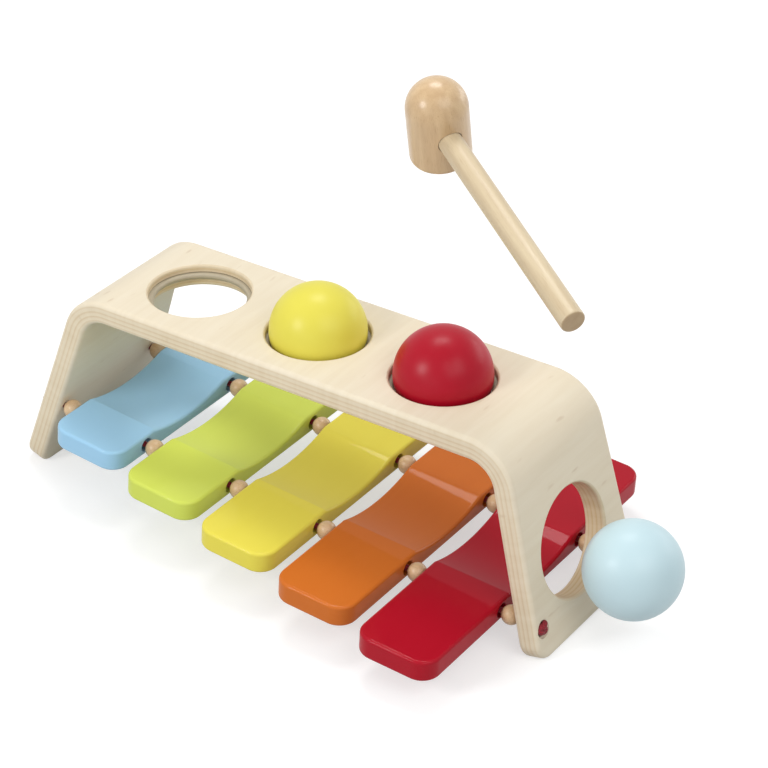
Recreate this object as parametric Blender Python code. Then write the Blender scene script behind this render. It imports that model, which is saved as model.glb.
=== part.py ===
"""Toy metallophone: a bent plywood pounding bench over a sloping row of five painted bars.

Balls are knocked through the rubber rings of the bench top, fall on the bars, roll down the row and leave
through the hole in the right leg. The bars hang on two cords between the legs, with a bead in each gap.

Units are metres and Z is up. The bench stands on z = 0 with its length along X, and the players sit on
the -Y side. Sizes along X are taken from the middle ball hole.
"""
import math

import bmesh
import bpy
from mathutils import Euler, Vector

# Working gap between pieces that touch, and how far a cutting tool runs past what it cuts
GAP = 0.0003
OVERRUN = 0.003

# Bench: one plywood board bent into a bridge. Its front and rear edges spread apart down the legs.
BENCH_HEIGHT = 0.1077
BOARD_DEPTH = 0.078
BOARD_THICKNESS = 0.0117
LEFT_REACH = 0.1213
RIGHT_REACH = 0.1317
LEFT_SPLAY = math.radians(19.9)
RIGHT_SPLAY = math.radians(12.8)
FRONT_FLARE = math.radians(2.0)
REAR_FLARE = math.radians(5.1)
BEND_RADIUS = 0.0262
BEND_STEPS = 9
FOOT_CORNER_RADIUS = 0.010
FOOT_CORNER_STEPS = 5
FOOT_SANDING = 0.0025
BOARD_ROUNDING = 0.001

# Balls, their holes in the bench top and the rubber ring in each hole
BALL_RADIUS = 0.024
BALL_SEGMENTS = 26
HOLE_PITCH = 0.07215
HOLE_CLEARANCE = 0.0017
HOLE_RADIUS = BALL_RADIUS + HOLE_CLEARANCE
HOLE_ROUNDING = 0.0008
HOLE_ROUNDING_TURN = math.radians(70)
HOLE_SEGMENTS = 32
RING_GRIP = 0.0006
RING_INNER_RADIUS = BALL_RADIUS - RING_GRIP
RING_SEAT = 0.002
RING_OUTER_RADIUS = HOLE_RADIUS + RING_SEAT
RING_HEIGHT = 0.003
RING_DEPTH = 0.0055
RING_LIP_STEPS = 4
RING_SEGMENTS = 32

# Exit hole for the balls in the right leg, its lip just below a rolling ball
EXIT_CLEARANCE = 0.0035
EXIT_RADIUS = BALL_RADIUS + EXIT_CLEARANCE
EXIT_LIP_DROP = 0.0014

# Row of bars: heights of the cords at the end beads, the dip of the cords between them, and how far the row
# lies in front of the balls' line
ROW_LEFT_HEIGHT = 0.0368
ROW_RIGHT_HEIGHT = 0.0172
ROW_DIP = 0.0016
ROW_FORWARD = 0.001
CORD_EDGE_DISTANCE = 0.004
CORD_SPACING = BOARD_DEPTH - 2 * CORD_EDGE_DISTANCE
CORD_RADIUS = 0.0015
CORD_STEP_DIAMETERS = 2.8
CORD_CLEARANCE = 0.0005
CORD_HOLE_RADIUS = CORD_RADIUS + CORD_CLEARANCE
COUNTERBORE_RADIUS = 0.0043
COUNTERBORE_DEPTH = 0.0055
KNOT_CLEARANCE = 0.0005
KNOT_RADIUS = COUNTERBORE_RADIUS - KNOT_CLEARANCE
KNOT_HALF_HEIGHT = 0.0024
BORE_SEGMENTS = 16

# Beads between the bars
BEAD_RADIUS = 0.0049
BEAD_BORE_RADIUS = CORD_RADIUS + CORD_CLEARANCE
BEAD_SEGMENTS = 12
BEAD_STEPS = 7

# Bars: flat pads at both ends and a hollow across the middle that leads the balls
BAR_COLOURS = {
    "blue_bar": (0.29, 0.51, 0.69),
    "green_bar": (0.52, 0.62, 0.05),
    "yellow_bar": (0.80, 0.69, 0.08),
    "orange_bar": (0.72, 0.20, 0.03),
    "red_bar": (0.50, 0.01, 0.02),
}
BAR_SHORTEST = 0.1195
BAR_LENGTH_STEP = 0.0189
BAR_THICKNESS = 0.0113
BAR_RISE = 0.006
BAR_CORD_CLEARANCE = 0.001
BAR_HOLE_RADIUS = CORD_RADIUS + BAR_CORD_CLEARANCE
BAR_CORNER_RADIUS = 0.0098
BAR_CORNER_STEPS = 4
BAR_ROUNDING = 0.0013
HOLLOW_CORD_DISTANCE = 0.006
HOLLOW_WIDTH = CORD_SPACING - 2 * HOLLOW_CORD_DISTANCE
HOLLOW_DEPTH = 0.005
HOLLOW_STEPS = 10

# Rolled-out ball: how far past the right leg it lies, and its clearance over the bars on the way there
ROLLED_OUT_DISTANCE = 0.032
ROLL_CLEARANCE = 0.0009

# Mallet, held over the red ball: a domed head on a round handle
MALLET_LEFT_OF_BALL = 0.0043
MALLET_LIFT = 0.130
MALLET_ROLL = math.radians(10.6)
MALLET_DIP = math.radians(12.7)
MALLET_TURN = math.radians(-31.9)
HEAD_RADIUS = 0.0143
HEAD_BARREL_LENGTH = 0.0282
HEAD_HANDLE_TO_DOME = 0.0101
HEAD_BOTTOM_ROUNDING = 0.0022
HEAD_SEGMENTS = 28
DOME_STEPS = 7
HANDLE_RADIUS = 0.0056
HANDLE_END_DISTANCE = 0.1371
HANDLE_START_DISTANCE = 0.002
HANDLE_END_ROUNDING = 0.0009
HANDLE_SEGMENTS = 22
ROUNDING_STEPS = 2

SHARP_ANGLE = math.radians(35)


def clear_scene():
    for leftover in list(bpy.data.objects):
        bpy.data.objects.remove(leftover, do_unlink=True)


def finish(name, colour, roughness):
    """Material with the piece's colour (linear RGB) and gloss."""
    material = bpy.data.materials.new(name)
    material.use_nodes = True
    shader = material.node_tree.nodes["Principled BSDF"]
    shader.inputs["Base Color"].default_value = (*colour, 1.0)
    shader.inputs["Roughness"].default_value = roughness
    shader.inputs["Metallic"].default_value = 0.0
    return material


def place(name, data, parent, location=(0, 0, 0), rotation=(0, 0, 0), material=None):
    """Object in the scene, under its parent."""
    piece = bpy.data.objects.new(name, data)
    bpy.context.scene.collection.objects.link(piece)
    piece.parent = parent
    piece.location = location
    piece.rotation_euler = rotation
    if material:
        piece.data.materials.append(material)
    return piece


def mesh_from(builder, name, smooth=True):
    """Mesh with outward faces from a bmesh, smooth except across sharp edges."""
    bmesh.ops.recalc_face_normals(builder, faces=builder.faces)
    mesh = bpy.data.meshes.new(name)
    builder.to_mesh(mesh)
    builder.free()
    if smooth:
        mesh.shade_smooth()
        mesh.set_sharp_from_angle(angle=SHARP_ANGLE)
    return mesh


def turned(name, profile, segments, closed=False):
    """Mesh turned about Z from (radius, height) points. A closed profile is a ring's section."""
    builder = bmesh.new()
    rings = []
    for radius, height in profile:
        count = segments if radius > 0 else 1
        turns = [math.tau * (step + 1 / 2) / segments for step in range(count)]
        rings.append([builder.verts.new((radius * math.cos(a), radius * math.sin(a), height)) for a in turns])
    pairs = list(zip(rings, rings[1:]))
    if closed:
        pairs.append((rings[-1], rings[0]))
    for low, high in pairs:
        for step in range(segments):
            following = (step + 1) % segments
            corners = (
                low[step % len(low)],
                low[following % len(low)],
                high[following % len(high)],
                high[step % len(high)],
            )
            builder.faces.new(list(dict.fromkeys(corners)))
    return mesh_from(builder, name)


def stacked(name, outlines):
    """Closed solid through a stack of outlines. Each runs along one side and comes back beside it on the other."""
    builder = bmesh.new()
    loops = [[builder.verts.new(point) for point in outline] for outline in outlines]
    count = len(loops[0])
    for low, high in zip(loops, loops[1:]):
        for side in range(count):
            following = (side + 1) % count
            builder.faces.new((low[side], low[following], high[following], high[side]))
    for cap in (loops[0], loops[-1]):
        for row in range(count // 2 - 1):
            builder.faces.new((cap[row], cap[row + 1], cap[count - 2 - row], cap[count - 1 - row]))
    return mesh_from(builder, name)


def arc(radius, start, end, steps):
    """Points of an arc about (0, 0), both ends included."""
    angles = [start + (end - start) * step / steps for step in range(steps + 1)]
    return [(radius * math.cos(angle), radius * math.sin(angle)) for angle in angles]


def edge_levels(rounding, thickness):
    """(inset, height) of the outlines of a board with rounded edges, from its lower face up."""
    quarter = arc(rounding, 0, math.pi / 2, ROUNDING_STEPS)
    lower = [(rounding - x, rounding - z) for x, z in reversed(quarter)]
    upper = [(rounding - x, thickness - rounding + z) for x, z in quarter]
    return [*lower, *upper]


def tool(name, mesh, parent, location=(0, 0, 0), rotation=(0, 0, 0)):
    """Cutter: a solid that shapes its neighbour and isn't part of the object."""
    cutter = place(name, mesh, parent, location, rotation)
    cutter.hide_render = True
    cutter.display_type = "WIRE"
    return cutter


def cut(piece, cutter):
    modifier = piece.modifiers.new(cutter.name, "BOOLEAN")
    modifier.operation = "DIFFERENCE"
    modifier.solver = "EXACT"
    modifier.object = cutter


def leg_outer_x(height, reach, splay):
    """Distance of a leg's outer face from the middle hole at a height."""
    return reach + (BENCH_HEIGHT - height) * math.tan(splay)


def end_bead_x(height, reach, splay):
    """Distance of the bead that touches a leg's inner face at a height."""
    return leg_outer_x(height, reach, splay) - (BOARD_THICKNESS + BEAD_RADIUS + GAP) / math.cos(splay)


ROW_START = -end_bead_x(ROW_LEFT_HEIGHT, LEFT_REACH, LEFT_SPLAY)
ROW_END = end_bead_x(ROW_RIGHT_HEIGHT, RIGHT_REACH, RIGHT_SPLAY)
ROW_PITCH = (ROW_END - ROW_START) / len(BAR_COLOURS)
BAR_WIDTH = ROW_PITCH - 2 * (BEAD_RADIUS + GAP)


def row_height(x):
    """Height of the cords: a straight fall to the right with a shallow dip, and straight past the beads."""
    inside = min(max(x, ROW_START), ROW_END)
    share = (inside - ROW_START) / (ROW_END - ROW_START)
    fall = ROW_LEFT_HEIGHT + (ROW_RIGHT_HEIGHT - ROW_LEFT_HEIGHT) * share
    return fall - 4 * ROW_DIP * share * (1 - share) + (x - inside) * row_slope(inside)


def row_slope(x):
    share = (x - ROW_START) / (ROW_END - ROW_START)
    return (ROW_RIGHT_HEIGHT - ROW_LEFT_HEIGHT - 4 * ROW_DIP * (1 - 2 * share)) / (ROW_END - ROW_START)


def row_tilt(x):
    """Turn about Y that lays a piece along the row."""
    return -math.atan(row_slope(x))


def edges_at(height):
    """Distances of the board's front and rear edge from the balls' line at a height."""
    drop = BENCH_HEIGHT - height
    return [BOARD_DEPTH / 2 + drop * math.tan(flare) for flare in (FRONT_FLARE, REAR_FLARE)]


def bench_stations(reach, splay, side, inset):
    """(x, z, x and z of the outward direction, front and rear edge) on the outer face, from a foot to the top."""
    along = math.cos(splay)
    lean = math.sin(splay)
    leg_length = (BENCH_HEIGHT - BOARD_THICKNESS * lean + FOOT_SANDING) / along
    radius = FOOT_CORNER_RADIUS - inset
    stations = []
    for x, y in arc(radius, 0, math.pi / 2, FOOT_CORNER_STEPS):
        down = leg_length - FOOT_CORNER_RADIUS + x
        height = BENCH_HEIGHT - down * along
        edges = [edge - FOOT_CORNER_RADIUS + y for edge in edges_at(height)]
        stations.append((side * (reach + down * lean), height, side * along, lean, edges))
    centre_x = reach - BEND_RADIUS * math.tan((math.pi / 2 - splay) / 2)
    centre_z = BENCH_HEIGHT - BEND_RADIUS
    for across, up in arc(1, splay, math.pi / 2, BEND_STEPS):
        x = side * (centre_x + BEND_RADIUS * across)
        height = centre_z + BEND_RADIUS * up
        stations.append((x, height, side * across, up, [edge - inset for edge in edges_at(height)]))
    return stations


def bench_mesh():
    """Board bent into a bridge: outlines through its thickness, from the inner face to the outer face."""
    outlines = []
    for inset, height in edge_levels(BOARD_ROUNDING, BOARD_THICKNESS):
        left = bench_stations(LEFT_REACH, LEFT_SPLAY, -1, inset)
        right = bench_stations(RIGHT_REACH, RIGHT_SPLAY, 1, inset)
        depth = BOARD_THICKNESS - height
        stations = [*left, *reversed(right)]
        front = [(x - depth * nx, -edges[0], z - depth * nz) for x, z, nx, nz, edges in stations]
        rear = [(x - depth * nx, edges[1], z - depth * nz) for x, z, nx, nz, edges in stations]
        outlines.append([*front, *reversed(rear)])
    return stacked("bench", outlines)


def through_hole_profile(radius, groove=()):
    """Tool for a hole with rounded rims through the board. Height 0 is the outer face."""
    rim = [
        (radius + HOLE_ROUNDING - x, z - HOLE_ROUNDING)
        for x, z in arc(HOLE_ROUNDING, HOLE_ROUNDING_TURN, 0, ROUNDING_STEPS)
    ]
    far_rim = [(r, -BOARD_THICKNESS - z) for r, z in reversed(rim)]
    top = [(0, OVERRUN), (radius + HOLE_ROUNDING, OVERRUN)]
    bottom = [(radius + HOLE_ROUNDING, -BOARD_THICKNESS - OVERRUN), (0, -BOARD_THICKNESS - OVERRUN)]
    return [*top, *rim, *groove, *far_rim, *bottom]


def make_bench(toy):
    birch = finish("birch plywood", (0.82, 0.75, 0.60), 0.5)
    bench = place("bench", bench_mesh(), toy, material=birch)

    wall = HOLE_RADIUS
    groove_radius = RING_OUTER_RADIUS + GAP
    groove_top = -RING_DEPTH + RING_HEIGHT / 2 + GAP
    groove_bottom = -RING_DEPTH - RING_HEIGHT / 2 - GAP
    groove = [(wall, groove_top), (groove_radius, groove_top), (groove_radius, groove_bottom), (wall, groove_bottom)]
    ball_hole = turned("ball hole", through_hole_profile(HOLE_RADIUS, groove), HOLE_SEGMENTS)
    for number in (-1, 0, 1):
        spot = (number * HOLE_PITCH, 0, BENCH_HEIGHT)
        cut(bench, tool(f"ball_hole_tool_{number + 2}", ball_hole, toy, spot))

    exit_hole = turned("exit hole", through_hole_profile(EXIT_RADIUS), HOLE_SEGMENTS)
    height = roll_height(right_leg_x()) - BALL_RADIUS - EXIT_LIP_DROP + EXIT_RADIUS * math.cos(RIGHT_SPLAY)
    spot = (leg_outer_x(height, RIGHT_REACH, RIGHT_SPLAY), 0, height)
    cut(bench, tool("exit_hole_tool", exit_hole, toy, spot, (0, math.pi / 2 - RIGHT_SPLAY, 0)))

    drill = [
        (0, OVERRUN),
        (COUNTERBORE_RADIUS, OVERRUN),
        (COUNTERBORE_RADIUS, -COUNTERBORE_DEPTH),
        (CORD_HOLE_RADIUS, -COUNTERBORE_DEPTH),
        (CORD_HOLE_RADIUS, -BOARD_THICKNESS - 2 * OVERRUN),
        (0, -BOARD_THICKNESS - 2 * OVERRUN),
    ]
    cord_hole = turned("cord hole", drill, BORE_SEGMENTS)
    for label, x, outward in cord_exits():
        for row, y in cord_rows():
            spot = (x, y, row_height(x))
            cut(bench, tool(f"{row}_{label}_cord_hole_tool", cord_hole, toy, spot, (0, outward, 0)))

    left = -leg_outer_x(0, LEFT_REACH, LEFT_SPLAY) - OVERRUN
    right = leg_outer_x(0, RIGHT_REACH, RIGHT_SPLAY) + OVERRUN
    depth = max(edges_at(0)) + OVERRUN
    corners = [(left, -depth), (right, -depth), (right, depth), (left, depth)]
    sander = stacked("floor", [[(x, y, z) for x, y in corners] for z in (-FOOT_SANDING - OVERRUN, 0)])
    cut(bench, tool("floor_tool", sander, toy))


def cord_rows():
    """Name and Y of the front and the rear cord."""
    return [("front", -ROW_FORWARD - CORD_SPACING / 2), ("rear", -ROW_FORWARD + CORD_SPACING / 2)]


def cord_exits():
    """Name, x on the outer face, and the turn about Y that points a tool's Z outwards along the cord."""
    exits = []
    for label, side, bead_x, reach, splay in (
        ("left", -1, ROW_START, LEFT_REACH, LEFT_SPLAY),
        ("right", 1, ROW_END, RIGHT_REACH, RIGHT_SPLAY),
    ):
        slope = row_slope(bead_x)
        face_x = side * leg_outer_x(row_height(bead_x), reach, splay)
        steepness = side * math.tan(splay)
        x = (face_x + steepness * slope * bead_x) / (1 + steepness * slope)
        exits.append((label, x, side * math.pi / 2 + row_tilt(bead_x)))
    return exits


def make_rings(toy):
    """Rubber ring in the groove of each ball hole, with a round lip that carries the ball."""
    lip = RING_HEIGHT / 2
    inner = [
        (RING_INNER_RADIUS + lip + x, z)
        for x, z in arc(lip, math.pi / 2, math.pi + math.pi / 2, RING_LIP_STEPS)
    ]
    outer = [(RING_OUTER_RADIUS, -lip), (RING_OUTER_RADIUS, lip)]
    mesh = turned("rubber ring", [*inner, *outer], RING_SEGMENTS, closed=True)
    for label, number in (("left", -1), ("middle", 0), ("right", 1)):
        rubber = finish(f"{label} ring rubber", (0.55, 0.54, 0.50), 0.6)
        spot = (number * HOLE_PITCH, 0, BENCH_HEIGHT - RING_DEPTH)
        ring = place(f"{label}_ring", mesh.copy(), toy, spot, material=rubber)
        ring.data.name = ring.name


def ball_mesh(name):
    half_circle = [(y, x) for x, y in arc(BALL_RADIUS, math.pi, 0, BALL_SEGMENTS // 2)]
    profile = [(0, -BALL_RADIUS), *half_circle[1:-1], (0, BALL_RADIUS)]
    return turned(name, profile, BALL_SEGMENTS)


def ball_seat_height():
    """Centre height of a ball that lies on the lip of its ring."""
    lip = RING_HEIGHT / 2
    contact = BALL_RADIUS + lip + GAP
    rise = math.sqrt(contact ** 2 - (RING_INNER_RADIUS + lip) ** 2)
    return BENCH_HEIGHT - RING_DEPTH + rise


def roll_height(x):
    """Height of a rolling ball's centre: a straight line over the hollows of the first and the last bar."""
    first = ROW_START + ROW_PITCH / 2
    last = ROW_END - ROW_PITCH / 2
    slope = (row_height(last) - row_height(first)) / (last - first)
    return row_height(last) + (x - last) * slope + BAR_RISE - HOLLOW_DEPTH + BALL_RADIUS + ROLL_CLEARANCE


def right_leg_x():
    """Where a rolling ball passes the right leg's outer face."""
    return leg_outer_x(ROW_RIGHT_HEIGHT + BALL_RADIUS, RIGHT_REACH, RIGHT_SPLAY)


def make_balls(toy):
    seat = ball_seat_height()
    yellow = finish("yellow ball paint", (0.80, 0.73, 0.06), 0.25)
    place("yellow_ball", ball_mesh("yellow_ball"), toy, (0, 0, seat), material=yellow)
    red = finish("red ball paint", (0.50, 0.01, 0.03), 0.25)
    place("red_ball", ball_mesh("red_ball"), toy, (HOLE_PITCH, 0, seat), material=red)
    x = right_leg_x() + ROLLED_OUT_DISTANCE
    blue = finish("light blue ball paint", (0.40, 0.63, 0.70), 0.25)
    place("light_blue_ball", ball_mesh("light_blue_ball"), toy, (x, 0, roll_height(x)), material=blue)


def hollow_drop(y):
    """Depth of the hollow below the pads, a shallow arc across the bar."""
    half = HOLLOW_WIDTH / 2
    if abs(y) >= half:
        return 0
    radius = (half ** 2 + HOLLOW_DEPTH ** 2) / (2 * HOLLOW_DEPTH)
    return math.sqrt(radius ** 2 - y ** 2) - (radius - HOLLOW_DEPTH)


def bar_outline(length, inset):
    """Half of a bar's rounded plan outline as (x, y) points, from the rear end to the front end."""
    half_width = BAR_WIDTH / 2
    radius = BAR_CORNER_RADIUS - inset
    centre_x = half_width - BAR_CORNER_RADIUS
    centre_y = length / 2 - BAR_CORNER_RADIUS
    corner = [(centre_x + x, centre_y + y) for x, y in arc(radius, math.pi / 2, 0, BAR_CORNER_STEPS)]
    pitch = HOLLOW_WIDTH / HOLLOW_STEPS
    side = [(half_width - inset, HOLLOW_WIDTH / 2 - pitch * step) for step in range(HOLLOW_STEPS + 1)]
    return [*corner, *side, *[(x, -y) for x, y in reversed(corner)]]


def bar_mesh(name, length):
    """Bar about the cords' line, its length along Y: level outlines whose upper ones follow the hollow."""
    outlines = []
    for inset, height in edge_levels(BAR_ROUNDING, BAR_THICKNESS):
        hollow_share = float(height > BAR_ROUNDING)
        level = BAR_RISE - BAR_THICKNESS + height
        half = [(x, y, level - hollow_share * hollow_drop(y)) for x, y in bar_outline(length, inset)]
        outlines.append([*half, *[(-x, y, z) for x, y, z in reversed(half)]])
    return stacked(name, outlines)


def make_bars(toy):
    half = BAR_WIDTH / 2 + OVERRUN
    drill = turned("bar bore", [(0, -half), (BAR_HOLE_RADIUS, -half), (BAR_HOLE_RADIUS, half), (0, half)], BORE_SEGMENTS)
    for number, (name, colour) in enumerate(BAR_COLOURS.items()):
        x = ROW_START + ROW_PITCH * (number + 1 / 2)
        lacquer = finish(f"{name} lacquer", colour, 0.25)
        mesh = bar_mesh(name, BAR_SHORTEST + BAR_LENGTH_STEP * number)
        bar = place(name, mesh, toy, (x, -ROW_FORWARD, row_height(x)), (0, row_tilt(x), 0), lacquer)
        for row, y in cord_rows():
            cut(bar, tool(f"{name}_{row}_bore_tool", drill, bar, (0, y + ROW_FORWARD, 0), (0, math.pi / 2, 0)))


def make_beads(toy):
    """Twelve round beads with a bore, six on each cord."""
    opening = math.asin(BEAD_BORE_RADIUS / BEAD_RADIUS)
    section = [(y, x) for x, y in arc(BEAD_RADIUS, math.pi - opening, opening, BEAD_STEPS)]
    mesh = turned("bead", section, BEAD_SEGMENTS, closed=True)
    for row, y in cord_rows():
        for number in range(len(BAR_COLOURS) + 1):
            x = ROW_START + ROW_PITCH * number
            beech = finish(f"{row} bead {number + 1} beech", (0.60, 0.42, 0.24), 0.45)
            turn = (0, math.pi / 2 + row_tilt(x), 0)
            place(f"{row}_bead_{number + 1}", mesh.copy(), toy, (x, y, row_height(x)), turn, beech)


def make_cords(toy):
    """Two cords from leg to leg, and the knot that holds each end in its counterbore."""
    ends = []
    for label, x, outward in cord_exits():
        along = Vector((math.sin(outward), 0, math.cos(outward)))
        ends.append((label, Vector((x, 0, row_height(x))), along, outward))
    start = ends[0][1] - ends[0][2] * COUNTERBORE_DEPTH
    stop = ends[1][1] - ends[1][2] * COUNTERBORE_DEPTH
    steps = round((stop.x - start.x) / (2 * CORD_RADIUS * CORD_STEP_DIAMETERS))
    oval = [(KNOT_RADIUS * y, KNOT_HALF_HEIGHT * x) for x, y in arc(1, math.pi, 0, BEAD_STEPS)]
    profile = [(0, -KNOT_HALF_HEIGHT), *oval[1:-1], (0, KNOT_HALF_HEIGHT)]
    for row, y in cord_rows():
        line = bpy.data.curves.new(f"{row}_cord", "CURVE")
        line.dimensions = "3D"
        line.bevel_depth = CORD_RADIUS
        line.bevel_resolution = 2
        line.use_fill_caps = True
        spline = line.splines.new("POLY")
        spline.points.add(steps)
        for number, point in enumerate(spline.points):
            x = start.x + (stop.x - start.x) * number / steps
            point.co = (x, y, row_height(x), 1)
        place(f"{row}_cord", line, toy, material=finish(f"{row} cord red", (0.30, 0.01, 0.02), 0.8))
        for label, face, along, outward in ends:
            spot = face - along * (COUNTERBORE_DEPTH - GAP - KNOT_HALF_HEIGHT)
            spot.y = y
            dyed = finish(f"{row} {label} knot red", (0.30, 0.01, 0.02), 0.8)
            mesh = turned(f"{row}_{label}_knot", profile, BEAD_SEGMENTS)
            place(f"{row}_{label}_knot", mesh, toy, spot, (0, outward, 0), dyed)


def make_mallet(toy):
    """Mallet about the point where the handle's axis meets the head's: dome towards Z, handle along X."""
    grip = bpy.data.objects.new("mallet", None)
    bpy.context.scene.collection.objects.link(grip)
    grip.parent = toy
    grip.location = (HOLE_PITCH - MALLET_LEFT_OF_BALL, 0, BENCH_HEIGHT + MALLET_LIFT)
    grip.rotation_euler = Euler((MALLET_ROLL, MALLET_DIP, MALLET_TURN))

    bottom = HEAD_HANDLE_TO_DOME - HEAD_BARREL_LENGTH
    edge = HEAD_RADIUS - HEAD_BOTTOM_ROUNDING
    rim = [
        (edge + x, bottom + HEAD_BOTTOM_ROUNDING + z)
        for x, z in arc(HEAD_BOTTOM_ROUNDING, -math.pi / 2, 0, ROUNDING_STEPS)
    ]
    dome = [(x, HEAD_HANDLE_TO_DOME + z) for x, z in arc(HEAD_RADIUS, 0, math.pi / 2, DOME_STEPS)]
    profile = [(0, bottom), *rim, *dome[:-1], (0, HEAD_HANDLE_TO_DOME + HEAD_RADIUS)]
    beech = finish("mallet head beech", (0.62, 0.42, 0.22), 0.4)
    head = place("mallet_head", turned("mallet_head", profile, HEAD_SEGMENTS), grip, material=beech)
    socket_radius = HANDLE_RADIUS + GAP
    socket_start = HANDLE_START_DISTANCE - GAP
    socket_end = HEAD_RADIUS + OVERRUN
    bore = [(0, socket_start), (socket_radius, socket_start), (socket_radius, socket_end), (0, socket_end)]
    towards_handle = (0, math.pi / 2, 0)
    cut(head, tool("socket_tool", turned("socket", bore, HANDLE_SEGMENTS), grip, rotation=towards_handle))

    edge = HANDLE_RADIUS - HANDLE_END_ROUNDING
    turn = arc(HANDLE_END_ROUNDING, 0, math.pi / 2, ROUNDING_STEPS)
    far = [(edge + x, HANDLE_END_DISTANCE - HANDLE_END_ROUNDING + z) for x, z in turn]
    near = [(edge + x, HANDLE_START_DISTANCE + HANDLE_END_ROUNDING - z) for x, z in reversed(turn)]
    profile = [(0, HANDLE_START_DISTANCE), *near, *far, (0, HANDLE_END_DISTANCE)]
    dowel = finish("mallet handle birch", (0.76, 0.62, 0.42), 0.5)
    mesh = turned("mallet_handle", profile, HANDLE_SEGMENTS)
    place("mallet_handle", mesh, grip, rotation=towards_handle, material=dowel)


def stand_on_origin(toy):
    """Moves the toy so that the middle of its footprint box stands on the origin."""
    bpy.context.view_layer.update()
    lows, highs = [], []
    graph = bpy.context.evaluated_depsgraph_get()
    for piece in bpy.context.scene.objects:
        if piece.type in {"MESH", "CURVE"} and not piece.hide_render:
            shape = piece.evaluated_get(graph).to_mesh()
            points = [piece.matrix_world @ vertex.co for vertex in shape.vertices]
            lows.append([min(point[axis] for point in points) for axis in range(2)])
            highs.append([max(point[axis] for point in points) for axis in range(2)])
    for axis in range(2):
        toy.location[axis] = -(min(low[axis] for low in lows) + max(high[axis] for high in highs)) / 2
    bpy.context.view_layer.update()


def main():
    clear_scene()
    toy = bpy.data.objects.new("toy", None)
    bpy.context.scene.collection.objects.link(toy)
    make_bench(toy)
    make_rings(toy)
    make_balls(toy)
    make_bars(toy)
    make_beads(toy)
    make_cords(toy)
    make_mallet(toy)
    stand_on_origin(toy)


main()
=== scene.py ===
# %% [markdown]
# # A toy metallophone, dressed for its picture
#
# The toy is a pounding bench with music under it. A plywood board is bent into a bridge, balls are knocked
# through rubber rings in its top, and they fall on a sloping row of five painted bars and roll out of the
# right leg. The measured CAD model comes in first and stays fixed. Each cell then makes one piece or one
# finish finer than the CAD solid it stands for, and the last cells set the camera and the light.
#
# All sizes are metres. X runs along the bench to the leg with the exit hole, -Y is the front, Z is up.

# %% Load the measured model
import math

import bmesh
import bpy
from mathutils import Euler, Matrix, Vector


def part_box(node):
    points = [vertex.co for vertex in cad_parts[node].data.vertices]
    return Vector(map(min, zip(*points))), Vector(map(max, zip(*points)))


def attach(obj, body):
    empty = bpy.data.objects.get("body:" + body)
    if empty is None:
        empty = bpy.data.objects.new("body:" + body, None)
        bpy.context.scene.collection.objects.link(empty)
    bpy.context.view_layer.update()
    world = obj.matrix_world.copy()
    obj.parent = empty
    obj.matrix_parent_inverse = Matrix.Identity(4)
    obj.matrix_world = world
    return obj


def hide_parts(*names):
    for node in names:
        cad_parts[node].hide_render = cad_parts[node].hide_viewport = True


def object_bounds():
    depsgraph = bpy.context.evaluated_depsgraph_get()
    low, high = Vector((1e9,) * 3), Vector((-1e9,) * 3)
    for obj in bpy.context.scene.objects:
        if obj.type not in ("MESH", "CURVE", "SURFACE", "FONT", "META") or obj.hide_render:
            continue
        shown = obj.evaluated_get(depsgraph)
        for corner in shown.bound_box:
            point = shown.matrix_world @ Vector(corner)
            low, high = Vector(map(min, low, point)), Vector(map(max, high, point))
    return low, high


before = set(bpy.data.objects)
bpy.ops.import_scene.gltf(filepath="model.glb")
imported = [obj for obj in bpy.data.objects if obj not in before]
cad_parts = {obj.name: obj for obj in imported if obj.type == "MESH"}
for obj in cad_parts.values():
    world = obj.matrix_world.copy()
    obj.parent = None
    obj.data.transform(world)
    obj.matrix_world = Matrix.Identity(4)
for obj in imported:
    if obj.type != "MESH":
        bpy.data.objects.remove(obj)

cad_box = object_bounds()

# %% [markdown]
# Every size along X is taken from the middle ball hole, which is where the yellow ball sits. Reading that
# ball's box from the frame tells where the toy's own zero lies, so nothing is placed by eye.

# %% Find the toy's zero point
low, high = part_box("yellow_ball")
zero = Vector(((low.x + high.x) / 2, (low.y + high.y) / 2, 0))
BALL_RADIUS = (high.z - low.z) / 2
print("zero point:", [round(v, 5) for v in zero], "ball radius:", round(BALL_RADIUS, 5))

# %% [markdown]
# Most pieces here are either turned on a lathe or cut from a board. Two helpers make those two kinds of
# mesh, a third rounds an edge, and a fourth keeps, in each vertex, its place in the wood before the piece
# is tilted or moved. The finishes read that place, so grain follows a piece wherever it is carried.

# %% Helpers for turned and cut pieces
ROUNDING_STEPS = 5


def arc(radius, start, end, steps):
    """Points of an arc about (0, 0), both ends included."""
    angles = [start + (end - start) * step / steps for step in range(steps + 1)]
    return [(radius * math.cos(angle), radius * math.sin(angle)) for angle in angles]


def smoothed(mesh, sharp=35):
    """Mesh shaded smooth, except across edges sharper than an angle in degrees."""
    mesh.shade_smooth()
    mesh.set_sharp_from_angle(angle=math.radians(sharp))
    return mesh


def mesh_of(builder, name):
    """Plain mesh with faces outwards."""
    bmesh.ops.recalc_face_normals(builder, faces=builder.faces)
    mesh = bpy.data.meshes.new(name)
    builder.to_mesh(mesh)
    builder.free()
    return smoothed(mesh)


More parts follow.
